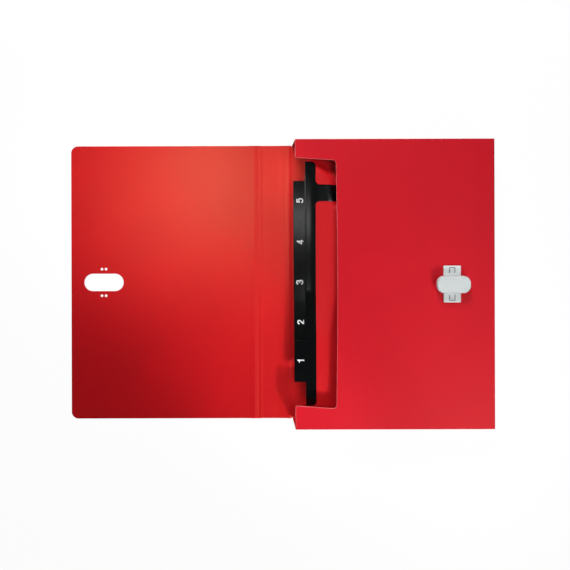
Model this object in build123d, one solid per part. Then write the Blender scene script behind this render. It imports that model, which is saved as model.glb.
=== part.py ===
from build123d import *
import os
from math import atan2, degrees

# Document folder for A4 paper, lying open on its back: a box-shaped pocket with five
# numbered dividers, a spine strip, a flap, and a turning knob that holds the flap shut.
# X runs from the flap's free edge to the pocket's closed end, Y across, Z up.
# Lengths are in millimetres. X places count from the crease between pocket and spine.

# Folded sheet
sheet = 0.8  # thickness of the plastic sheet
width = 330.0  # of every panel, along Y
pocket_depth = 237.0  # from the crease to the closed end
pocket_height = 34.5  # from the table to the front panel's outer face
spine_length = 37.0  # from crease to crease
flap_length = 227.3  # from its crease to its free edge
flap_corner = 8.5  # radius of the free corners
bend = 1.6  # bend radius at the middle of the sheet
bend_run = 2.0  # from the middle of a wall to where the flat panel beside it starts
crease_gap = 0.4  # from the fold's middle to each panel's edge
crease_web = 0.35  # what is left of the sheet under a score line
double_score = 4.2  # width of the strip between the flap's two score lines

# Pocket mouth
mouth_at_back = 3.0  # where the side walls start, at the back panel
mouth_at_front = 10.2  # where they end, at the front panel
notch_end = 56.4  # how far the finger notch reaches into the front panel at its corners
notch_belly = 1.7  # how much further it reaches at its middle
notch_half = 140.8  # half the notch's width
notch_shift = -0.4  # of the notch's middle, along Y, at its closed side
notch_lean = 0.075  # how far both ends run askew for each millimetre towards the mouth
notch_corner = 4.0
ear_corner = 2.0  # radius of the ears' inner tips
weld_flange = 20.0  # side wall's turned-in flange, welded under the front panel
weld_tab = 18.0  # side wall's turned-in end tab, welded to the bottom wall
weld_tab_relief = 4.0  # cut away at the ends of that tab, clear of the other bends

# Closure
knob_x = 187.8  # from the crease, for the knob and for the flap's slot
slot_length = 47.4
slot_width = 20.9
detent_along = 16.1  # from the closure's middle, for the flap's small holes
detent_across = 2.45
detent_hole = 1.5  # radius
base_length = 41.8  # along Y
base_width = 19.8
base_thickness = 1.6
base_corner = 1.4
collar_radius = 7.4
tongue_length = 6.2
tongue_width = 6.0
tongue_slit = 0.8
tongue_outer_end = 18.6  # from the closure's middle to the slit round a tongue's end
stake_radius = 1.5
stake_x = 6.4
stake_y = 9.5
stake_head = 2.3
back_plate_length = 24.4  # along Y
back_plate_width = 18.8
back_plate_corner = 3.0
back_plate_thickness = 1.0
knob_length = 38.1
knob_width = 19.2
knob_corner = 8.4
knob_height = 5.5
knob_edge = 1.7
stem_radius = 4.0
running_clearance = 0.06
clip_thickness = 0.9
clip_radius = 6.6
flap_play = 0.2  # between the shut flap and the turned knob

# Dividers, numbered from the front of the pocket to the back
divider_count = 5
divider_sheet = 0.5
divider_half = 160.0
divider_start = 22.0
hinge_x = 235.1  # of every divider's crease
hinge_lowest = 5.0  # height of the rearmost divider's crease
hinge_step = 5.6
mouth_lowest = 8.4  # height of the rearmost divider at the mouth
mouth_step = 2.9
foot_height = 4.0
foot_thickness = 0.5
foot_overlap = 0.45  # how far the folded foot stands below its crease

# Black index strips
strip_thickness = 0.4
strip_left = 20.9
strip_right = 33.2
strip_low = -142.5
strip_high = 140.2
strip_corner = 5.0
tab_reach = 13.6  # of the front divider's tab, past its strip
tab_reach_step = 0.45  # how much further each tab behind it reaches
tab_pitch = 47.0
tab_overlap = 1.2  # of neighbouring tabs, along Y
tab_middle = 3.0
neck_low = 95.0
neck_high = 114.0
neck_end = 82.0
neck_fillet = 5.0

# Worked out from the above
half_width = width / 2
panel_end = pocket_depth - sheet / 2 - bend_run
flap_crease = -spine_length
flap_edge = flap_crease - flap_length
middle_x = (flap_edge + pocket_depth) / 2  # the exported origin
fold_z = sheet  # both folds turn about the sheet's inner face
front_inside = pocket_height - sheet
base_top = pocket_height + base_thickness
shut_flap_outside = fold_z + spine_length + sheet
knob_underside = shut_flap_outside + flap_play
back_plate_bottom = front_inside - back_plate_thickness
slot_x = flap_crease - knob_x


def box(x0, x1, y0, y1, z0, z1):
    """A block between the given coordinates."""
    middle = Pos((x0 + x1) / 2, (y0 + y1) / 2, (z0 + z1) / 2)
    return middle * Box(x1 - x0, y1 - y0, z1 - z0)


def plate(outline, z0, z1):
    """A flat outline raised from z0 to z1."""
    return extrude(Pos(0, 0, z0) * outline, z1 - z0)


def rod(x, y, radius, z0, z1):
    """An upright cylinder."""
    return Pos(x, y, (z0 + z1) / 2) * Cylinder(radius, z1 - z0)


def bent_section(points):
    """The section of a sheet whose middle follows the points, with a bend at each corner."""
    return trace(FilletPolyline(*points, radius=bend), sheet)


def back_panel():
    """The panel that lies on the table. It is narrower where the side walls bend up."""
    inner = half_width - sheet / 2 - bend_run
    body = box(crease_gap, panel_end, -inner, inner, 0, sheet)
    lip = box(crease_gap, mouth_at_back - 0.05, -half_width, half_width, 0, sheet)
    return body + lip


def bottom_wall():
    """The pocket's closed end, with the two bends that carry it to the back and front."""
    x = pocket_depth - sheet / 2
    low = sheet / 2
    high = pocket_height - sheet / 2
    section = bent_section([(panel_end, low), (x, low), (x, high), (panel_end, high)])
    return extrude(Plane.XZ * section, half_width, dir=(0, 1, 0), both=True)


def front_panel():
    """The outer panel: a finger notch between two ears, and the closure's holes."""
    solid = box(mouth_at_front, panel_end, -half_width, half_width, front_inside, pocket_height)
    solid -= plate(notch_outline(), front_inside - 1, pocket_height + 1)
    tips = solid.edges().filter_by(Axis.Z).filter_by(lambda e: abs(e.center().Y) < notch_half + 9)
    solid = fillet(tips.sort_by(Axis.X)[:2], ear_corner)
    solid -= rod(knob_x, 0, stem_radius + 0.5, front_inside - 1, pocket_height + 1)
    for x, y in stake_places():
        solid -= rod(x, y, stake_radius, front_inside - 1, pocket_height + 1)
    for side in (-1, 1):
        solid -= tongue_opening(side)
    return solid


def notch_outline():
    """The finger notch, past the mouth at its open side, with a slightly bulging closed side."""
    open_x = mouth_at_front - 5
    drift = notch_lean * (notch_end - open_x)
    low = notch_shift - notch_half
    high = notch_shift + notch_half
    belly = (notch_end + notch_belly, notch_shift)
    closed_side = ThreePointArc((notch_end, low), belly, (notch_end, high))
    points = [(notch_end, high), (open_x, high + drift), (open_x, low + drift), (notch_end, low)]
    outline = make_face([closed_side, Polyline(*points)])
    return fillet(outline.vertices().sort_by(Axis.X)[-2:], notch_corner)


def stake_places():
    """Where the base plate's four stakes pass through the front panel."""
    return [(knob_x + i * stake_x, j * stake_y) for i in (-1, 1) for j in (-1, 1)]


def side_wall(side):
    """A folded wall: bend from the back panel, weld flange above, weld tab at its end."""
    y = half_width - sheet / 2
    low = sheet / 2
    high = front_inside - sheet / 2
    far = pocket_depth - sheet - sheet / 2
    section = bent_section([(y - bend_run, low), (y, low), (y, high), (y - weld_flange, high)])
    run = extrude(Plane.YZ * section, far - weld_tab_relief, dir=(1, 0, 0))
    turned = bent_section([(far - weld_tab, y), (far, y), (far, y - weld_tab)])
    tab = plate(turned, weld_tab_relief, front_inside - weld_tab_relief)
    profile = Polyline(
        (mouth_at_back, 0),
        (pocket_depth, 0),
        (pocket_depth, pocket_height),
        (mouth_at_front, pocket_height),
        close=True,
    )
    slanted = extrude(Plane.XZ * make_face(profile), width, dir=(0, 1, 0), both=True)
    solid = (run + tab) & slanted
    return solid if side > 0 else mirror(solid, about=Plane.XZ)


def spine_panel():
    """The strip that stands over the pocket's mouth when the folder is shut."""
    left = flap_crease + double_score / 2
    return box(left, -crease_gap, -half_width, half_width, 0, sheet)


def spine_crease():
    """The scored web that joins the spine to the back panel."""
    return box(-crease_gap, crease_gap, -half_width, half_width, sheet - crease_web, sheet)


def flap_crease_strip():
    """The narrow strip between the flap's two score lines, thinned at both."""
    left = flap_crease - double_score / 2
    right = flap_crease + double_score / 2
    solid = box(left, right, -half_width, half_width, 0, sheet)
    for x in (left, right - crease_gap):
        solid -= box(x, x + crease_gap, -width, width, -1, sheet - crease_web)
    return solid


def flap_panel():
    """The flap, with the knob's slot and four small holes for the knob's detent pips."""
    right = flap_crease - double_score / 2
    solid = box(flap_edge, right, -half_width, half_width, 0, sheet)
    corners = solid.edges().filter_by(Axis.Z).sort_by(Axis.X)[:2]
    solid = fillet(corners, flap_corner)
    solid -= plate(Pos(slot_x, 0) * SlotOverall(slot_length, slot_width), -1, sheet + 1)
    for i in (-1, 1):
        for j in (-1, 1):
            solid -= rod(slot_x + i * detent_across, j * detent_along, detent_hole, -1, sheet + 1)
    return solid


def tongue_opening(side):
    """The opening in the front panel that a spring tongue can bend into."""
    ends = [side * (tongue_outer_end + tongue_slit), side * (tongue_outer_end - tongue_length)]
    half = tongue_width / 2 + tongue_slit
    low = front_inside - 1
    return box(knob_x - half, knob_x + half, min(ends), max(ends), low, pocket_height + 1)


def tongue(side):
    """The slit that frees a spring tongue in one wing of the base plate, open to the middle."""
    end = side * tongue_outer_end
    start = end - side * tongue_length
    half = tongue_width / 2
    points = [(-half, start), (-half, end), (half, end), (half, start)]
    slit = Pos(knob_x, 0) * trace(FilletPolyline(*points, radius=0.9), tongue_slit)
    return plate(slit, pocket_height - 1, base_top + 1)


def closure_base_plate():
    """The outer plate: two wings with spring tongues, a collar, and four staked pins."""
    outline = Pos(knob_x, 0) * RectangleRounded(base_width, base_length, base_corner)
    solid = plate(outline, pocket_height, base_top)
    solid = chamfer(solid.faces().sort_by(Axis.Z)[-1].edges(), 0.35)
    solid += rod(knob_x, 0, collar_radius, pocket_height, knob_underside - 0.1)
    for x, y in stake_places():
        solid += rod(x, y, stake_radius, back_plate_bottom - 0.2, pocket_height)
        solid += rod(x, y, stake_head, back_plate_bottom - 0.8, back_plate_bottom)
    for side in (-1, 1):
        solid -= tongue(side)
        solid += rod(knob_x, side * (tongue_outer_end - 1.9), 0.8, base_top - 0.2, base_top + 0.4)
    return solid - rod(knob_x, 0, stem_radius + running_clearance, 0, knob_underside)


def closure_back_plate():
    """The inner plate that the base plate's pins are staked over."""
    outline = Pos(knob_x, 0) * RectangleRounded(back_plate_width, back_plate_length, back_plate_corner)
    solid = plate(outline, back_plate_bottom, front_inside)
    for x, y in stake_places():
        solid -= rod(x, y, stake_radius, 0, front_inside + 1)
    return solid - rod(knob_x, 0, stem_radius + running_clearance, 0, front_inside + 1)


def closure_knob():
    """The turning knob: a rounded cap, four detent pips under it, and a grooved stem."""
    outline = Pos(knob_x, 0) * RectangleRounded(knob_length, knob_width, knob_corner)
    cap = plate(outline, knob_underside, knob_underside + knob_height)
    cap = fillet(cap.faces().sort_by(Axis.Z)[-1].edges(), knob_edge)
    stem_bottom = back_plate_bottom - clip_thickness - 1.4
    stem = rod(knob_x, 0, stem_radius, stem_bottom, knob_underside + 0.5)
    solid = cap + stem - clip_seat()
    for i in (-1, 1):
        for j in (-1, 1):
            x = knob_x + i * detent_along
            y = j * detent_across
            solid += rod(x, y, 1.1, knob_underside - 0.8, knob_underside + 0.5)
    return solid


def clip_seat():
    """The groove round the stem that the retaining clip snaps into."""
    low = back_plate_bottom - 0.1 - clip_thickness
    ring = rod(knob_x, 0, stem_radius + 1, low, low + clip_thickness)
    return ring - rod(knob_x, 0, stem_radius - 0.8, low - 1, low + clip_thickness + 1)


def closure_retaining_clip():
    """An open spring ring in the stem's groove, under the back plate."""
    low = back_plate_bottom - 0.1 - clip_thickness
    ring = rod(knob_x, 0, clip_radius, low, low + clip_thickness)
    ring -= rod(knob_x, 0, stem_radius - 0.8, low - 1, low + clip_thickness + 1)
    ring -= box(knob_x, knob_x + 10, -2.6, 2.6, low - 1, low + clip_thickness + 1)
    return ring


def hinge_z(number):
    """Height of a divider's crease."""
    return hinge_lowest + (divider_count - number) * hinge_step


def divider_place(number):
    """The tilt and place of a divider that is drawn flat, with its crease on the origin."""
    rise = mouth_lowest + (divider_count - number) * mouth_step - hinge_z(number)
    run = hinge_x - divider_start
    return Pos(hinge_x, 0, hinge_z(number)) * Rot(0, degrees(atan2(rise, run)), 0)


def divider_panel(number):
    """The divider's sheet, from its crease to the mouth."""
    half = divider_sheet / 2
    flat = box(divider_start - hinge_x, -crease_gap, -divider_half, divider_half, -half, half)
    return divider_place(number) * flat


def divider_crease(number):
    """The thin web between a divider and its welded foot."""
    thin = divider_sheet / 4
    reach = weld_reach()
    foot_x = pocket_depth - sheet - foot_thickness
    tilted = divider_place(number) * box(-crease_gap, 0.1, -reach, reach, -thin, thin)
    z = hinge_z(number)
    return tilted + box(hinge_x, foot_x, -reach, reach, z - thin, z + thin)


def divider_foot(number):
    """The folded-up foot that is welded to the bottom wall's inner face."""
    x1 = pocket_depth - sheet
    z0 = hinge_z(number) - foot_overlap
    return box(x1 - foot_thickness, x1, -weld_reach(), weld_reach(), z0, z0 + foot_height)


def weld_reach():
    """Half the length of the divider's weld, which stops short of the side walls' tabs."""
    return half_width - sheet / 2 - weld_tab - 1


def index_strip(number):
    """The black strip along a divider's edge, with its numbered tab and its neck."""
    left = strip_left - hinge_x
    right = strip_right - hinge_x
    bar_middle = Pos((left + right) / 2, (strip_low + strip_high) / 2)
    bar = bar_middle * Rectangle(right - left, strip_high - strip_low)
    bar = fillet(bar.vertices().sort_by(Axis.X)[-2:], strip_corner)
    tab_y = tab_middle + (number - (divider_count + 1) / 2) * tab_pitch
    reach = tab_reach + (number - 1) * tab_reach_step
    tab = Pos(left - reach / 2, tab_y) * Rectangle(reach, tab_pitch + tab_overlap)
    neck_length = neck_end - strip_right
    neck_middle = (neck_low + neck_high) / 2
    neck = Pos(right + neck_length / 2, neck_middle) * Rectangle(neck_length, neck_high - neck_low)
    outline = bar + tab + neck
    roots = [v for v in outline.vertices() if abs(v.X - right) < 0.01]
    outline = fillet(roots, neck_fillet)
    flat = plate(outline, divider_sheet / 2, divider_sheet / 2 + strip_thickness)
    return divider_place(number) * flat


def save(shape, name):
    """Write one piece, with the origin under the middle of the open folder."""
    export_step(Pos(-middle_x, 0, 0) * shape, f"parts/{name}.step")


os.makedirs("parts", exist_ok=True)
save(back_panel(), "back_panel")
save(bottom_wall(), "bottom_wall")
save(front_panel(), "front_panel")
save(side_wall(-1), "side_wall_left")
save(side_wall(1), "side_wall_right")
save(spine_panel(), "spine_panel")
save(spine_crease(), "spine_crease")
save(flap_crease_strip(), "flap_crease")
save(flap_panel(), "flap_panel")
save(closure_base_plate(), "closure_base_plate")
save(closure_back_plate(), "closure_back_plate")
save(closure_knob(), "closure_knob")
save(closure_retaining_clip(), "closure_retaining_clip")
for number in range(1, divider_count + 1):
    save(divider_panel(number), f"divider_sheet_{number}")
    save(divider_crease(number), f"divider_crease_{number}")
    save(divider_foot(number), f"divider_foot_{number}")
    save(index_strip(number), f"index_strip_{number}")
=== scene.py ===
"""A red polypropylene document folder, lying open on its back and seen from straight above.

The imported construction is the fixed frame. This script dresses it: softened edges on every
sheet and moulding, the scored creases as continuous strips, printed numbers on the index
tabs, the finishes, and a plain studio with the photograph's camera.
"""

import logging
import math
from dataclasses import dataclass, field
from enum import Enum, IntEnum
from functools import partial
from typing import Callable, Iterable, Optional

import bmesh
import bpy
from mathutils import Matrix, Vector


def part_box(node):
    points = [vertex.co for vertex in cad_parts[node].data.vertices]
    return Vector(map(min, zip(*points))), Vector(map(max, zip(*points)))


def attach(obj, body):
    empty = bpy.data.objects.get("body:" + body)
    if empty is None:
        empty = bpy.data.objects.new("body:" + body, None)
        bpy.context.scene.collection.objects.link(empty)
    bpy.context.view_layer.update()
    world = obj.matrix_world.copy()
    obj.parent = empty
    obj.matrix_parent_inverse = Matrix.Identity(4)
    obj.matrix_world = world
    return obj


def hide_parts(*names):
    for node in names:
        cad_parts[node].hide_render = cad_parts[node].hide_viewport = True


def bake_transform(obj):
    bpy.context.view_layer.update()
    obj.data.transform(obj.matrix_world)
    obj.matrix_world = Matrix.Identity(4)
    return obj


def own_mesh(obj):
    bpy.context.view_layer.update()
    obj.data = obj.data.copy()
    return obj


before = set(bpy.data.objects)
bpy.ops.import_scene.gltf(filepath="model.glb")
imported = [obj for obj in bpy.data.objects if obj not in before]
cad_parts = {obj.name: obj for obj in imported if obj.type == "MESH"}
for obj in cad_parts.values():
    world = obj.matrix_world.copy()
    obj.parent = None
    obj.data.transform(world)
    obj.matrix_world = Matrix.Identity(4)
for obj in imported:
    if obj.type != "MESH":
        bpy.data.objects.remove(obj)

MM: float = 0.001
LOG = logging.getLogger("document_folder")


def linear(hex_colour: str) -> tuple[float, float, float, float]:
    """Turn an sRGB hex colour into linear RGBA.

    Args:
        hex_colour: Six hex digits, such as "C8262B".

    Returns:
        Linear red, green and blue, and an alpha of 1.
    """
    parts = [int(hex_colour[i:i + 2], 16) / 255 for i in (0, 2, 4)]
    values = [c / 12.92 if c <= 0.04045 else ((c + 0.055) / 1.055) ** 2.4 for c in parts]
    return (values[0], values[1], values[2], 1.0)


def add_node(
    tree: bpy.types.NodeTree,
    kind: str,
    inputs: Optional[dict] = None,
    **settings: object,
) -> bpy.types.Node:
    """Add a shader node with its settings, socket values and links.

    Args:
        tree: The material's node tree.
        kind: The node's type name.
        inputs: Socket name or number to a value, or to the output socket to link.
        **settings: Attributes of the node itself.

    Returns:
        The new node.
    """
    node = tree.nodes.new(kind)
    for name, value in settings.items():
        setattr(node, name, value)
    for socket, value in (inputs or {}).items():
        if isinstance(value, bpy.types.NodeSocket):
            tree.links.new(value, node.inputs[socket])
        else:
            node.inputs[socket].default_value = value
    return node


class Surface(Enum):
    """How a finish was made, which sets the look of its fine relief."""

    GRAINED_SHEET = "extruded sheet, pressed by a finely grained roller"
    GLOSSY_FILM = "calendered film with a polished face"
    MOULDED = "injection moulding from a fine-sparked cavity"
    STAMPED = "stamped and tumbled spring steel"
    PRINTED = "one pass of opaque ink"


@dataclass(frozen=True)
class Finish:
    """One finish: a real material and how its surface was made."""

    name: str
    surface: Surface
    colour: str
    deep_colour: str
    roughness: float
    roughness_spread: float
    ior: float
    grain_mm: float  # width of the fine relief
    grain_depth_mm: float
    cloud_mm: float = 60.0  # width of the slow changes of tone
    metallic: float = 0.0
    specular: float = 0.5  # the shader's specular level, where 0.5 leaves the IOR's gloss as it is
    sheen_colour: str = "FFFFFF"

    def relief(self, tree: bpy.types.NodeTree, place: bpy.types.NodeSocket) -> bpy.types.NodeSocket:
        """Draw the fine relief that this surface's making leaves.

        Args:
            tree: The material's node tree.
            place: The point's Object coordinates.

        Returns:
            The relief's height, from 0 to 1.
        """
        scale = 1 / (self.grain_mm * MM)
        if self.surface is Surface.MOULDED:
            cells = add_node(tree, "ShaderNodeTexVoronoi", {"Vector": place, "Scale": scale})
            return cells.outputs["Distance"]
        if self.surface in (Surface.GLOSSY_FILM, Surface.STAMPED):
            # Rolling and tumbling draw the relief out along one way.
            drawn = add_node(
                tree, "ShaderNodeMapping", {"Vector": place, "Scale": (1.0, 0.12, 1.0)}
            )
            place = drawn.outputs["Vector"]
        grain = add_node(
            tree, "ShaderNodeTexNoise",
            {"Vector": place, "Scale": scale, "Detail": 2.0, "Roughness": 0.6},
        )
        return grain.outputs["Fac"]

    def material(self) -> bpy.types.Material:
        """Build the procedural material.

        Returns:
            A material that reads Object coordinates only.
        """
        mat = bpy.data.materials.new(self.name)
        mat.use_nodes = True
        tree = mat.node_tree
        tree.nodes.clear()
        place = add_node(tree, "ShaderNodeTexCoord").outputs["Object"]
        clouds = add_node(
            tree, "ShaderNodeTexNoise",
            {"Vector": place, "Scale": 1 / (self.cloud_mm * MM), "Detail": 3.0, "Roughness": 0.55},
        )
        tone = add_node(
            tree, "ShaderNodeMapRange",
            {"Value": clouds.outputs["Fac"], "From Min": 0.35, "From Max": 0.65},
        )
        colour = add_node(
            tree, "ShaderNodeMix",
            {
                "Factor": tone.outputs["Result"],
                "A": linear(self.deep_colour),
                "B": linear(self.colour),
            },
            data_type="RGBA",
        )
        grain = self.relief(tree, place)
        gloss = add_node(
            tree, "ShaderNodeMapRange",
            {
                "Value": grain,
                "From Min": 0.3,
                "From Max": 0.7,
                "To Min": self.roughness - self.roughness_spread,
                "To Max": self.roughness + self.roughness_spread,
            },
        )
        relief = add_node(
            tree, "ShaderNodeBump",
            {"Height": grain, "Strength": 1.0, "Distance": self.grain_depth_mm * MM},
        )
        shader = add_node(
            tree, "ShaderNodeBsdfPrincipled",
            {
                "Base Color": colour.outputs["Result"],
                "Roughness": gloss.outputs["Result"],
                "Normal": relief.outputs["Normal"],
                "Metallic": self.metallic,
                "IOR": self.ior,
                "Specular IOR Level": self.specular,
                "Specular Tint": linear(self.sheen_colour),
            },
        )
        add_node(tree, "ShaderNodeOutputMaterial", {"Surface": shader.outputs["BSDF"]})
        return mat


@dataclass(frozen=True)
class Palette:
    """The folder's finishes, each made once."""

    # Polypropylene is slightly waxy: a soft, broad sheen over a full red, never a sharp glint.
    # The sheet's inner face ran against the polished roller, so its sheen is the stronger one.
    # Pigment lies close under that skin, which warms the sheen.
    inner_face: Finish = Finish(
        "red_polypropylene_inner_face", Surface.GRAINED_SHEET, "D1101E", "CB101E",
        roughness=0.4, roughness_spread=0.04, ior=1.49, grain_mm=0.9, grain_depth_mm=0.012,
        sheen_colour="FFE7AA",
    )
    # The outer face ran against the matte roller, which breaks up its sheen and deepens its red.
    outer_face: Finish = Finish(
        "red_polypropylene_outer_face", Surface.GRAINED_SHEET, "D21126", "CE1126",
        roughness=0.56, roughness_spread=0.04, ior=1.49, grain_mm=0.9, grain_depth_mm=0.02,
        specular=0.23, sheen_colour="FFDDC4",
    )
    # Cut edges are painted paler than the face beside them: a painted highlight along each edge.
    cut_edge_painted_highlight: Finish = Finish(
        "red_polypropylene_cut_edge", Surface.GRAINED_SHEET, "F0868A", "EA7A7E",
        roughness=0.5, roughness_spread=0.05, ior=1.49, grain_mm=0.5, grain_depth_mm=0.01,
        cloud_mm=12.0,
    )
    # The dividers are cut from thinner sheet of the same red, with a smoother face.
    divider: Finish = Finish(
        "red_polypropylene_divider", Surface.GRAINED_SHEET, "CE0C16", "C80B15",
        roughness=0.52, roughness_spread=0.03, ior=1.49, grain_mm=0.9, grain_depth_mm=0.008,
        specular=0.25,
    )
    # Black polypropylene film has a polished face, so it shows the lamps as soft grey bands.
    film: Finish = Finish(
        "black_polypropylene_film", Surface.GLOSSY_FILM, "060809", "040506",
        roughness=0.17, roughness_spread=0.02, ior=1.49, grain_mm=1.4, grain_depth_mm=0.003,
        cloud_mm=40.0,
    )
    # Pale grey ABS, moulded: even colour and a fine matte skin.
    moulding: Finish = Finish(
        "pale_grey_abs", Surface.MOULDED, "D5DBDB", "D0D7D7",
        roughness=0.4, roughness_spread=0.03, ior=1.53, grain_mm=0.7, grain_depth_mm=0.006,
        cloud_mm=20.0,
    )
    # The base plate is the knob's pale grey ABS from the same mould, painted lighter against the
    # knob's shade on it.
    base_moulding_painted_light: Finish = Finish(
        "pale_grey_abs_base_plate_painted_light", Surface.MOULDED, "E6ECEC", "E1E8E8",
        roughness=0.4, roughness_spread=0.03, ior=1.53, grain_mm=0.7, grain_depth_mm=0.006,
        cloud_mm=20.0,
    )
    steel: Finish = Finish(
        "spring_steel", Surface.STAMPED, "9A9CA0", "8E9094",
        roughness=0.3, roughness_spread=0.06, ior=1.45, grain_mm=0.5, grain_depth_mm=0.01,
        cloud_mm=8.0, metallic=1.0,
    )
    ink: Finish = Finish(
        "white_printing_ink", Surface.PRINTED, "F4F5F5", "EBEDED",
        roughness=0.5, roughness_spread=0.03, ior=1.5, grain_mm=0.5, grain_depth_mm=0.002,
        cloud_mm=6.0,
    )


class Workshop:
    """Makes the materials and finished meshes that every sub-assembly uses."""

    merge_mm: float = 0.002  # points closer than this become one
    level_degrees: float = 0.5  # faces that meet at less than this become one
    sharp_degrees: float = 40.0  # edges sharper than this are rounded
    shading_degrees: float = 35.0  # faces that meet at less than this are shaded as one
    cut_slack_m: float = 1e-7  # points nearer to a cutting plane than this lie on it

    def __init__(self, palette: Palette) -> None:
        """Keep the palette.

        Args:
            palette: The finishes of the whole folder.
        """
        self.palette = palette
        self._made: dict[str, bpy.types.Material] = {}

    def material(self, finish: Finish) -> bpy.types.Material:
        """Return the finish's material, made at its first use."""
        if finish.name not in self._made:
            self._made[finish.name] = finish.material()
        return self._made[finish.name]

    def piece(
        self, name: str, bm: bmesh.types.BMesh, finishes: Iterable[Finish], slot: str
    ) -> bpy.types.Object:
        """Turn a bmesh into a finished object at the origin.

        Args:
            name: The piece's name.
            bm: Its shape in metres, in the folder's frame. It is freed here.
            finishes: What its faces are made of, in the order of their material numbers.
            slot: The record's material slot. Not used.

        Returns:
            The object, shaded smooth across its gentle edges.
        """
        mesh = bpy.data.meshes.new(name)
        bm.to_mesh(mesh)
        bm.free()
        for finish in finishes:
            mesh.materials.append(self.material(finish))
        mesh.shade_smooth()
        mesh.set_sharp_from_angle(angle=math.radians(self.shading_degrees))
        obj = bpy.data.objects.new(name, mesh)
        bpy.context.scene.collection.objects.link(obj)
        even = obj.modifiers.new("even_normals", "WEIGHTED_NORMAL")
        even.keep_sharp = True
        return obj

    def copy(self, node: str) -> bmesh.types.BMesh:
        """Copy a construction node's mesh, merged and with its flat faces whole.

        Args:
            node: The node's name.

        Returns:
            The copy.
        """
        bm = bmesh.new()
        bm.from_mesh(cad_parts[node].data)
        bmesh.ops.remove_doubles(bm, verts=bm.verts, dist=self.merge_mm * MM)
        level = math.radians(self.level_degrees)
        bmesh.ops.dissolve_limit(bm, angle_limit=level, verts=bm.verts, edges=bm.edges)
        return bm

    def softened(
        self, node: str, width_mm: float, segments: int = 2, edge_number: int = 0,
        neighbours: Iterable[str] = (),
    ) -> bmesh.types.BMesh:
        """Copy a construction node's mesh and round its sharp edges.

        Args:
            node: The node's name.
            width_mm: How far each edge is cut back.
            segments: Steps round each edge.
            edge_number: The material number of the rounded edges.
            neighbours: Nodes that the same sheet runs on into. An edge on one stays sharp.

        Returns:
            The rounded copy.
        """
        bm = self.copy(node)
        boxes = [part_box(name) for name in neighbours if name != node]
        least = math.radians(self.sharp_degrees)
        sharp = [
            e for e in bm.edges
            if len(e.link_faces) == 2 and e.calc_face_angle(0.0) > least
            and not any(touches((e.verts[0].co + e.verts[1].co) / 2, box) for box in boxes)
        ]
        rounded = bmesh.ops.bevel(
            bm, geom=sharp, offset=width_mm * MM, offset_type="OFFSET", segments=segments,
            profile=0.5, affect="EDGES", material=-1, clamp_overlap=False,
        )
        for face in rounded["faces"]:
            face.material_index = edge_number
        return bm

    def cut(self, bm: bmesh.types.BMesh, axis: int, places: Iterable[float]) -> None:
        """Divide a mesh by planes square to an axis, so that it can bend there.

        Args:
            bm: The mesh.
            axis: 0 for X, 1 for Y.
            places: Where the planes cross the axis, in metres.
        """
        normal = Vector((1, 0, 0)) if axis == 0 else Vector((0, 1, 0))
        for place in places:
            bmesh.ops.bisect_plane(
                bm, geom=bm.verts[:] + bm.edges[:] + bm.faces[:], dist=self.cut_slack_m,
                plane_co=normal * place, plane_no=normal,
            )

    def lift(self, bm: bmesh.types.BMesh, rise: Callable[[float, float], float]) -> None:
        """Raise every point by a height that depends on its X and Y.

        Args:
            bm: The mesh.
            rise: X and Y in metres to a height in metres.
        """
        for vert in bm.verts:
            vert.co.z += rise(vert.co.x, vert.co.y)

    def dress(self, node: str, finish: Finish) -> None:
        """Give a construction node its finish.

        Args:
            node: The node's name.
            finish: What it is made of.
        """
        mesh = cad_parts[node].data
        mesh.materials.clear()
        mesh.materials.append(self.material(finish))


def smooth(value: float) -> float:
    """Ease a number from 0 to 1, level at both ends."""
    t = min(max(value, 0.0), 1.0)
    return t * t * (3 - 2 * t)


def along(profile: tuple[tuple[float, float], ...], at: float) -> float:
    """Read a profile's height, eased from each of its points to the next.

    Args:
        profile: Places and the heights there, in rising order of place.
        at: Where to read it.

    Returns:
        The height, or 0 beyond the profile's ends.
    """
    for (x0, z0), (x1, z1) in zip(profile, profile[1:]):
        if x0 <= at <= x1:
            return z0 + (z1 - z0) * smooth((at - x0) / (x1 - x0))
    return 0.0


def span(first: float, last: float, count: int) -> list[float]:
    """Return evenly spaced numbers from first to last."""
    return [first + (last - first) * i / (count - 1) for i in range(count)]


def middle_x(node: str) -> float:
    """Return the X of a construction node's middle, in metres."""
    low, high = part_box(node)
    return (low[0] + high[0]) / 2


def touches(point: Vector, box: tuple[Iterable[float], Iterable[float]]) -> bool:
    """Say whether a point lies in a box or on its faces, to a fortieth of a millimetre."""
    slack = 0.025 * MM
    low, high = box
    return all(a - slack <= v <= b + slack for v, a, b in zip(point, low, high))


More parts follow.
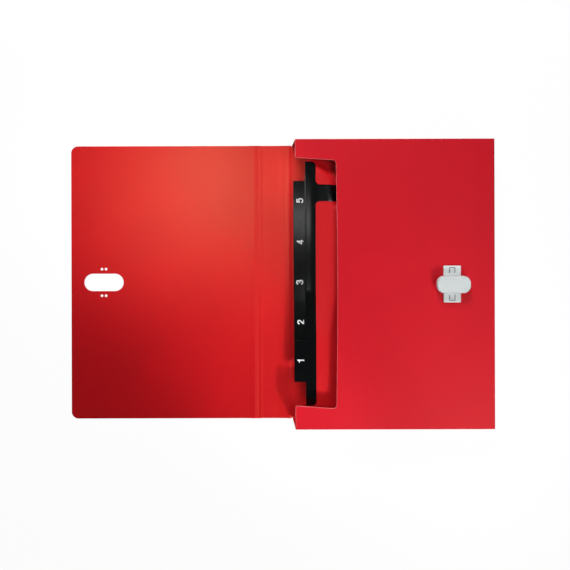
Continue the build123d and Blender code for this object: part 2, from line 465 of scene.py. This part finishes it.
@dataclass
class FoldMemory:
    """The low ridges that folding leaves in the sheet beside its score lines."""

    flap_crease_x: float
    back_crease_x: float
    # X from the middle of a crease and the sheet's rise there, both in millimetres
    at_flap: tuple[tuple[float, float], ...] = (
        (-19.0, 0.0), (-12.0, 0.22), (-7.5, 0.6), (-5.2, 0.72), (-2.6, 0.46), (-0.6, 0.1),
        (0.8, 0.1), (1.9, 0.34), (3.2, 0.16), (6.0, 0.0),
    )
    at_back: tuple[tuple[float, float], ...] = (
        (-16.0, 0.0), (-6.0, 0.3), (-0.5, 0.75), (0.2, 0.7), (3.4, 0.08), (6.0, 0.0),
    )
    step_mm: float = 0.4

    def rise(self, x: float, _y: float) -> float:
        """Return the sheet's rise at X, in metres."""
        at_flap = along(self.at_flap, (x - self.flap_crease_x) / MM)
        return (at_flap + along(self.at_back, (x - self.back_crease_x) / MM)) * MM

    def places(self, low: float, high: float) -> list[float]:
        """Return the X places between two ends where a sheet is divided to follow the ridges.

        Args:
            low: The sheet's lowest X, in metres.
            high: The sheet's highest X, in metres.

        Returns:
            The places, in metres.
        """
        found = []
        for crease_x, heights in (
            (self.flap_crease_x, self.at_flap), (self.back_crease_x, self.at_back),
        ):
            first, last = heights[0][0], heights[-1][0]
            count = int((last - first) / self.step_mm) + 1
            found += [crease_x + at * MM for at in span(first, last, count)]
        return [x for x in found if low < x < high]


@dataclass
class Creases:
    """The two folds of the blank, drawn as strips."""

    shop: Workshop
    memory: FoldMemory
    steps: int = 12

    def strip(self, node: str, a: str, b: str) -> None:
        """Build one crease from its construction node, with the ridges of its fold.

        Args:
            node: The construction node that it stands for.
            a: The body on its +X side.
            b: The body on its -X side.
        """
        low, high = (Vector(c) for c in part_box(node))
        bm = self.shop.copy(node)
        self.shop.cut(bm, 0, span(low.x, high.x, self.steps)[1:-1])
        self.shop.lift(bm, self.memory.rise)
        obj = self.shop.piece(node + "_fold", bm, [self.shop.palette.inner_face], "red_sheet")
        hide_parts(node)
        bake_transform(obj)
        LOG.info("%s bends between %s and %s", obj.name, a, b)

    def build(self) -> None:
        """Build both creases."""
        self.strip("spine_crease", "pocket", "spine")
        self.strip("flap_crease", "spine", "flap")


class SheetFace(IntEnum):
    """The material numbers of a die-cut sheet's faces."""

    INNER = 0
    OUTER = 1
    CUT = 2


@dataclass
class Shell:
    """The folded blank's panels and walls."""

    shop: Workshop
    memory: FoldMemory
    edge_mm: float = 0.36
    bodies: dict[str, str] = field(default_factory=lambda: {
        "back_panel": "pocket",
        "bottom_wall": "pocket",
        "front_panel": "pocket",
        "side_wall_left": "pocket",
        "side_wall_right": "pocket",
        "spine_panel": "spine",
        "flap_panel": "flap",
    })
    ridged: tuple[str, ...] = ("back_panel", "spine_panel", "flap_panel")

    def part_faces(self, bm: bmesh.types.BMesh) -> None:
        """Give each face of a panel the number of its side of the sheet.

        Args:
            bm: The panel, whose cut edges have their number already.
        """
        low, high = (Vector(c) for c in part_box("back_panel"))
        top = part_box("front_panel")[1][2]
        inside = Vector(((low.x + high.x) / 2, 0, top / 2))
        for face in bm.faces:
            if face.material_index != SheetFace.CUT:
                away = (face.calc_center_median() - inside).dot(face.normal)
                face.material_index = SheetFace.OUTER if away > 0 else SheetFace.INNER

    def build(self) -> None:
        """Round the die-cut edges of every panel and put each on its body."""
        palette = self.shop.palette
        # The cut-edge finish paints a highlight on every rounded edge.
        # In the order of their SheetFace numbers.
        finishes = [palette.inner_face, palette.outer_face, palette.cut_edge_painted_highlight]
        for node, body in self.bodies.items():
            bm = self.shop.softened(
                node, self.edge_mm, edge_number=SheetFace.CUT,
                neighbours=[*self.bodies, "spine_crease", "flap_crease"],
            )
            self.part_faces(bm)
            if node in self.ridged:
                low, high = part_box(node)
                self.shop.cut(bm, 0, self.memory.places(low[0], high[0]))
                self.shop.lift(bm, self.memory.rise)
            obj = self.shop.piece(node + "_sheet", bm, finishes, "red_sheet")
            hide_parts(node)
            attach(obj, body)
            LOG.info("%s: %d faces on %s", obj.name, len(obj.data.polygons), body)


@dataclass
class Closure:
    """The base plate, the turning knob and what holds them."""

    shop: Workshop
    edge_mm: float = 0.2
    edge_segments: int = 3
    rim_mm: float = 0.7
    field_drop_mm: float = 0.14
    field_slope_mm: float = 0.2
    upward: float = 0.999  # least upward share of a level face's normal
    level_slack_mm: float = 0.05

    def sink_top(self, bm: bmesh.types.BMesh) -> None:
        """Lower the field inside a rim on a moulding's largest upward face.

        Args:
            bm: The moulding.
        """
        upward = [f for f in bm.faces if f.normal.z > self.upward]
        lowest = max(f.calc_center_median().z for f in upward) - self.level_slack_mm * MM
        level = [f for f in upward if f.calc_center_median().z > lowest]
        top = max(level, key=lambda f: f.calc_area())
        bmesh.ops.inset_region(bm, faces=[top], thickness=self.rim_mm * MM, depth=0.0)
        bmesh.ops.inset_region(
            bm, faces=[top], thickness=self.field_slope_mm * MM, depth=-self.field_drop_mm * MM
        )

    def moulding(self, node: str, body: str, finish: Finish, sunk: bool = False) -> None:
        """Dress one moulding of the closure.

        Args:
            node: The construction node.
            body: What it moves with.
            finish: What it is made of.
            sunk: Whether its top has a rim round a lower field.
        """
        bm = self.shop.softened(node, self.edge_mm, self.edge_segments)
        if sunk:
            self.sink_top(bm)
        obj = self.shop.piece(node + "_moulding", bm, [finish], "grey_moulding")
        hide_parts(node)
        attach(obj, body)
        LOG.info("%s: %d faces", obj.name, len(obj.data.polygons))

    def build(self) -> None:
        """Dress the closure's pieces."""
        palette = self.shop.palette
        # The base plate takes the lighter grey: painted light against the knob's shade.
        self.moulding("closure_base_plate", "pocket", palette.base_moulding_painted_light)
        self.moulding("closure_back_plate", "pocket", palette.moulding)
        self.moulding("closure_knob", "knob", palette.moulding, sunk=True)
        self.shop.dress("closure_retaining_clip", palette.steel)


class Stroke(Enum):
    """How a number's stroke follows its points."""

    STRAIGHT = "POLY"
    ROUND = "NURBS"


# Plain upright numbers: strokes through points, across and up in shares of the height.
STROKES: dict[int, tuple[tuple[Stroke, tuple[tuple[float, float], ...]], ...]] = {
    1: (
        (Stroke.STRAIGHT, ((0.08, 0.0), (0.08, 1.0))),
        (Stroke.STRAIGHT, ((0.08, 0.9), (-0.2, 0.66))),
    ),
    2: (
        (Stroke.ROUND, (
            (-0.24, 0.66), (-0.24, 0.91), (0.24, 0.93), (0.24, 0.62), (0.02, 0.4), (-0.24, 0.1),
        )),
        (Stroke.STRAIGHT, ((-0.3, 0.09), (0.32, 0.09))),
    ),
    3: (
        (Stroke.ROUND, ((-0.25, 0.7), (-0.22, 0.92), (0.22, 0.93), (0.24, 0.54), (-0.06, 0.53))),
        (Stroke.ROUND, ((-0.06, 0.53), (0.28, 0.52), (0.28, 0.06), (-0.24, 0.07), (-0.26, 0.3))),
    ),
    4: (
        (Stroke.STRAIGHT, ((0.12, 0.0), (0.12, 1.0))),
        (Stroke.STRAIGHT, ((0.1, 0.93), (-0.26, 0.3))),
        (Stroke.STRAIGHT, ((-0.34, 0.29), (0.32, 0.29))),
    ),
    5: (
        (Stroke.STRAIGHT, ((-0.22, 0.91), (0.26, 0.91))),
        (Stroke.STRAIGHT, ((-0.17, 0.97), (-0.22, 0.46))),
        (Stroke.ROUND, (
            (-0.22, 0.5), (-0.06, 0.66), (0.29, 0.64), (0.27, 0.07), (-0.24, 0.06), (-0.27, 0.28),
        )),
    ),
}


@dataclass
class Dividers:
    """Five dividers with their black index strips and printed numbers."""

    shop: Workshop
    count: int = 5
    digit_height_mm: float = 8.0
    # X from the back crease and Y, in millimetres, of the middle of each number
    digit_places: tuple[tuple[float, float], ...] = (
        (15.2, -90.4), (14.9, -45.8), (13.4, 0.7), (13.8, 48.2), (13.3, 97.5),
    )
    ink_mm: float = 0.05
    ink_step_mm: float = 0.004  # each stroke's ink over the one before
    pen_share: float = 0.18  # stroke width to the number's height
    curve_order: int = 3
    curve_steps: int = 6  # along each part of a round stroke
    probe_m: float = 1.0  # where rays start down to find a strip's top
    # Y and the front divider's rise towards the front panel there, both in millimetres
    bow_along: tuple[tuple[float, float], ...] = (
        (-170.0, 0.0), (-75.0, 0.0), (-5.0, 9.8), (122.0, 9.8), (142.0, 8.5), (170.0, 8.5),
    )
    # X from the back crease and the share of that rise left there
    bow_across: tuple[tuple[float, float], ...] = (
        (0.0, 1.0), (24.0, 1.0), (56.0, 0.62), (120.0, 0.12), (260.0, 0.0),
    )
    # Y and the X from the back crease where the far corner starts to droop
    corner_start: tuple[tuple[float, float], ...] = (
        (-170.0, 260.0), (50.0, 260.0), (92.0, 50.0), (116.0, 47.0), (146.0, 26.0), (170.0, 14.0),
    )
    # X past that start and how far the corner has drooped there, both in millimetres
    corner_droop: tuple[tuple[float, float], ...] = (
        (0.0, 0.0), (12.0, 4.6), (30.0, 7.0), (260.0, 7.0),
    )
    bend_step_mm: float = 2.0
    sheet_mm: float = 0.5
    bowed_edge_mm: float = 0.1
    film_edge_mm: float = 0.12
    pressed_share: float = 0.25  # what the closed flap leaves of the bow

    def bow(self, x: float, y: float) -> float:
        """Return how far the front divider bows up at a place, in metres."""
        from_crease = (x - middle_x("spine_crease")) / MM
        rise = along(self.bow_along, y / MM) * along(self.bow_across, from_crease)
        droop = along(self.corner_droop, from_crease - along(self.corner_start, y / MM))
        return max(rise - droop, 0.0) * MM

    def bowed(self, node: str, finish: Finish, slot: str) -> bpy.types.Object:
        """Dress a sheet of the front divider, bowed as it lies in the photograph.

        Args:
            node: The construction node.
            finish: What it is made of.
            slot: The record's material slot.

        Returns:
            The new object, riding on the front divider.
        """
        bm = self.shop.softened(node, self.bowed_edge_mm, segments=1)
        low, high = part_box(node)
        for axis, step in ((0, 2 * self.bend_step_mm * MM), (1, self.bend_step_mm * MM)):
            # Whole steps, so that the strip and the sheet under it bend at the same lines.
            first, last = math.ceil(low[axis] / step), math.floor(high[axis] / step)
            self.shop.cut(bm, axis, [step * i for i in range(first, last + 1)])
        self.shop.lift(bm, self.bow)
        obj = self.shop.piece(node + "_bowed", bm, [finish], slot)
        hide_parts(node)
        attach(obj, "divider_1")
        self.press_flat(obj)
        return obj

    def press_flat(self, obj: bpy.types.Object) -> None:
        """Give a bowed piece its own copy of its mesh.

        Args:
            obj: The piece.
        """
        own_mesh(obj)

    def flat_strip(self, number: int) -> bpy.types.Object:
        """Dress the index strip of a divider that lies flat, and return it."""
        bm = self.shop.softened(f"index_strip_{number}", self.film_edge_mm)
        name = f"index_strip_{number}_film"
        obj = self.shop.piece(name, bm, [self.shop.palette.film], "black_strip")
        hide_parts(f"index_strip_{number}")
        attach(obj, f"divider_{number}")
        return obj

    def digit(self, number: int, strip: bpy.types.Object) -> None:
        """Print one number on its tab, its head towards the mouth.

        Args:
            number: The divider's number.
            strip: The dressed index strip that carries it.
        """
        bm = bmesh.new()
        for order, (kind, points) in enumerate(STROKES[number]):
            mesh = self.stroke(kind, points, order)
            bm.from_mesh(mesh)
            bpy.data.meshes.remove(mesh)
        from_crease, y = (place * MM for place in self.digit_places[number - 1])
        x = middle_x("spine_crease") + from_crease
        turned = Matrix.Translation((x, y, 0)) @ Matrix.Rotation(math.pi / 2, 4, "Z")
        bmesh.ops.transform(bm, matrix=turned, verts=bm.verts)
        self.shop.lift(bm, partial(self.surface_height, strip))
        bmesh.ops.recalc_face_normals(bm, faces=bm.faces)
        obj = self.shop.piece(f"tab_number_{number}", bm, [self.shop.palette.ink], "black_strip")
        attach(obj, f"divider_{number}")
        if number == 1:
            self.press_flat(obj)

    def stroke(
        self, kind: Stroke, points: tuple[tuple[float, float], ...], order: int
    ) -> bpy.types.Mesh:
        """Draw one stroke of a number as a flat bar of ink.

        Args:
            kind: How the stroke follows its points.
            points: Across and up from the number's foot, in shares of its height.
            order: The stroke's turn. Each lies a little higher than the one before.

        Returns:
            The stroke's mesh, with the number's middle at the origin.
        """
        size = self.digit_height_mm * MM
        ink = (self.ink_mm + self.ink_step_mm * order) * MM
        curve = bpy.data.curves.new("stroke", "CURVE")
        curve.dimensions = "3D"
        curve.resolution_u = self.curve_steps
        curve.extrude = ink / 2
        spline = curve.splines.new(kind.value)
        spline.points.add(len(points) - 1)
        for point, (across, up) in zip(spline.points, points):
            point.co = (across * size, (up - 0.5) * size, ink / 2, 1.0)
        if kind is Stroke.ROUND:
            spline.order_u = self.curve_order
            spline.use_endpoint_u = True
        line = bpy.data.objects.new("stroke", curve)
        bpy.context.scene.collection.objects.link(line)
        wide = line.modifiers.new("pen_width", "SOLIDIFY")
        wide.thickness = self.pen_share * size
        wide.offset = 0.0
        wide.use_even_offset = True
        shaped = line.evaluated_get(bpy.context.evaluated_depsgraph_get())
        mesh = bpy.data.meshes.new_from_object(shaped)
        bpy.data.objects.remove(line)
        return mesh

    def surface_height(self, obj: bpy.types.Object, x: float, y: float) -> float:
        """Find the top of a dressed strip at a place.

        Args:
            obj: The strip.
            x: The place's X, in metres.
            y: The place's Y, in metres.

        Returns:
            The height of the strip's top there, or of its highest point beyond its edge.
        """
        hit, where, _, _ = obj.ray_cast((x, y, self.probe_m), (0, 0, -1))
        return where.z if hit else max(v.co.z for v in obj.data.vertices)

    def build(self) -> None:
        """Dress every divider and print its number."""
        finish = self.shop.palette
        for number in range(1, self.count + 1):
            for node in ("divider_sheet", "divider_crease", "divider_foot"):
                self.shop.dress(f"{node}_{number}", finish.divider)
            if number == 1:
                self.bowed("divider_sheet_1", finish.divider, "red_divider")
                strip = self.bowed("index_strip_1", finish.film, "black_strip")
            else:
                strip = self.flat_strip(number)
            self.digit(number, strip)
        LOG.info("%d dividers dressed", self.count)


class Lamp(Enum):
    """The kinds of studio lamp."""

    SOFTBOX = "AREA"
    SPOT = "SPOT"


@dataclass(frozen=True)
class StudioLamp:
    """One studio lamp: a square diffuser, or a spot with a soft-edged cone."""

    name: str
    kind: Lamp
    place: tuple[float, float, float]
    aim: tuple[float, float, float]
    size: float  # side of the diffuser, or radius of the spot's front, in metres
    watts: float
    cone_degrees: float = 0.0

    def build(self) -> None:
        """Hang the lamp and turn it to its aim."""
        lamp = bpy.data.lights.new(self.name, self.kind.value)
        lamp.energy = self.watts
        if self.kind is Lamp.SOFTBOX:
            lamp.shape = "SQUARE"
            lamp.size = self.size
        else:
            lamp.shadow_soft_size = self.size
            lamp.spot_size = math.radians(self.cone_degrees)
            lamp.spot_blend = 1.0
        obj = bpy.data.objects.new(self.name, lamp)
        obj.location = self.place
        way = Vector(self.aim) - Vector(self.place)
        obj.rotation_euler = way.to_track_quat("-Z", "Y").to_euler()
        bpy.context.scene.collection.objects.link(obj)


@dataclass
class Studio:
    """The pale floor, the lamps and the photograph's camera."""

    frame_px: float = 570.0  # side of the photograph
    ground_scale: float = 0.8243  # pixels to the millimetre on the floor
    camera_height_mm: float = 529.5
    sensor_mm: float = 36.0
    clip_m: float = 0.01
    nadir_px: tuple[float, float] = (336.0, 246.0)  # the point straight under the camera
    crease_px: float = 289.5  # the back crease, across the picture
    middle_px: float = 281.75  # the folder's middle, down the picture
    roll_degrees: float = 0.15
    floor_half_m: float = 4.0
    floor_gap_mm: float = 0.2
    glow_share: float = 0.93  # how much of the floor's look is glow, for a faint shadow
    glow: float = 1.02
    room_light: float = 0.05
    lamps: tuple[StudioLamp, ...] = (
        StudioLamp("rear_softbox", Lamp.SOFTBOX, (-0.046, 0.884, 0.62), (0, 0, 0), 0.35, 8.1),
        StudioLamp("right_softbox", Lamp.SOFTBOX, (0.55, 0.03, 0.953), (0, 0, 0), 0.35, 1.8),
        StudioLamp(
            "mouth_spot", Lamp.SPOT, (0.43, -0.69, 0.54), (-0.02, -0.115, 0), 0.03, 17.5, 17.0,
        ),
        StudioLamp(
            "pocket_spot", Lamp.SPOT, (0.43, -0.745, 0.62), (0.2, -0.08, 0), 0.12, 15.8, 28.0,
        ),
        StudioLamp(
            "key_spot", Lamp.SPOT, (0.626, -0.626, 0.62), (0.13, -0.13, 0), 0.14, 12.6, 37.0,
        ),
        StudioLamp("flap_spot", Lamp.SPOT, (-0.12, 0.36, 1.1), (-0.2, 0.105, 0), 0.04, 15.8, 18.0),
        StudioLamp(
            "flap_top_spot", Lamp.SPOT, (-0.3, 0.36, 1.1), (-0.12, 0.09, 0), 0.04, 5.4, 18.0,
        ),
        StudioLamp("crease_spot", Lamp.SPOT, (-0.6, 0.15, 1.1), (-0.04, 0.13, 0), 0.12, 5.0, 18.0),
        StudioLamp("spine_spot", Lamp.SPOT, (-0.45, 0.36, 1.1), (-0.03, 0.02, 0), 0.12, 4.7, 18.0),
        StudioLamp("spine_mid_spot", Lamp.SPOT, (-0.3, 0.2, 1.1), (-0.005, 0, 0), 0.08, 4.3, 10.0),
        StudioLamp(
            "low_ear_spot", Lamp.SPOT, (-0.55, 0.15, 1.0), (0.024, -0.137, 0), 0.02, 20.0, 2.7,
        ),
        StudioLamp("ear_spot", Lamp.SPOT, (-0.55, -0.15, 1.0), (0.014, 0.134, 0), 0.03, 26.0, 3.6),
        # Two small lamps on the ceiling, seen only as grey bands in the polished black film.
        StudioLamp(
            "ceiling_lamp", Lamp.SOFTBOX, (-0.04, 0.146, 1.2), (-0.04, 0.146, 0), 0.12, 0.16,
        ),
        StudioLamp(
            "small_ceiling_lamp", Lamp.SOFTBOX, (-0.04, -0.14, 1.2), (-0.04, -0.14, 0), 0.063, 0.04,
        ),
    )

    def camera(self) -> None:
        """Hang the camera straight above, with the photograph's framing as lens shift."""
        x = middle_x("spine_crease") + (self.nadir_px[0] - self.crease_px) / self.ground_scale * MM
        y = (self.middle_px - self.nadir_px[1]) / self.ground_scale * MM
        data = bpy.data.cameras.new("camera")
        data.sensor_width = self.sensor_mm
        focal_px = self.ground_scale * self.camera_height_mm
        data.lens = focal_px / self.frame_px * self.sensor_mm
        half = self.frame_px / 2
        data.shift_x = (half - self.nadir_px[0]) / self.frame_px
        data.shift_y = (self.nadir_px[1] - half) / self.frame_px
        data.clip_start = self.clip_m
        obj = bpy.data.objects.new("camera", data)
        obj.location = (x, y, self.camera_height_mm * MM)
        obj.rotation_euler = (0, 0, math.radians(-self.roll_degrees))
        bpy.context.scene.collection.objects.link(obj)
        bpy.context.scene.camera = obj

    def floor(self) -> None:
        """Lay a pale floor that shows white and keeps a faint shadow."""
        bm = bmesh.new()
        bmesh.ops.create_grid(bm, x_segments=1, y_segments=1, size=self.floor_half_m)
        bmesh.ops.translate(bm, vec=(0, 0, -self.floor_gap_mm * MM), verts=bm.verts)
        mesh = bpy.data.meshes.new("floor")
        bm.to_mesh(mesh)
        bm.free()
        mat = bpy.data.materials.new("white_paper_floor")
        mat.use_nodes = True
        tree = mat.node_tree
        tree.nodes.clear()
        paint = add_node(tree, "ShaderNodeBsdfDiffuse", {"Color": linear("F2F2F2")})
        glow = add_node(
            tree, "ShaderNodeEmission", {"Color": (1, 1, 1, 1), "Strength": self.glow},
        )
        path = add_node(tree, "ShaderNodeLightPath")
        share = add_node(
            tree, "ShaderNodeMath",
            {0: path.outputs["Is Camera Ray"], 1: self.glow_share}, operation="MULTIPLY",
        )
        mixed = add_node(
            tree, "ShaderNodeMixShader",
            {0: share.outputs[0], 1: paint.outputs[0], 2: glow.outputs[0]},
        )
        add_node(tree, "ShaderNodeOutputMaterial", {"Surface": mixed.outputs[0]})
        mesh.materials.append(mat)
        obj = bpy.data.objects.new("floor", mesh)
        bpy.context.scene.collection.objects.link(obj)

    def world(self) -> None:
        """Fill the room with a low, even light, and show white behind the folder."""
        world = bpy.data.worlds.new("studio")
        bpy.context.scene.world = world
        world.use_nodes = True
        tree = world.node_tree
        tree.nodes.clear()
        path = add_node(tree, "ShaderNodeLightPath")
        strength = add_node(
            tree, "ShaderNodeMapRange",
            {"Value": path.outputs["Is Camera Ray"], "To Min": self.room_light, "To Max": 1.0},
        )
        back = add_node(
            tree, "ShaderNodeBackground",
            {"Color": (1, 1, 1, 1), "Strength": strength.outputs["Result"]},
        )
        add_node(tree, "ShaderNodeOutputWorld", {"Surface": back.outputs[0]})

    def build(self) -> None:
        """Set up floor, world, lamps, camera and the plain view transform."""
        self.floor()
        self.world()
        for lamp in self.lamps:
            lamp.build()
        self.camera()
        bpy.context.scene.view_settings.view_transform = "Standard"


def main() -> None:
    """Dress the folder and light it."""
    logging.basicConfig(level=logging.INFO, format="%(name)s: %(message)s")
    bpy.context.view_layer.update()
    shop = Workshop(Palette())
    memory = FoldMemory(middle_x("flap_crease"), middle_x("spine_crease"))
    Shell(shop, memory).build()
    Creases(shop, memory).build()
    Closure(shop).build()
    Dividers(shop).build()
    Studio().build()


if __name__ == "__main__":
    main()
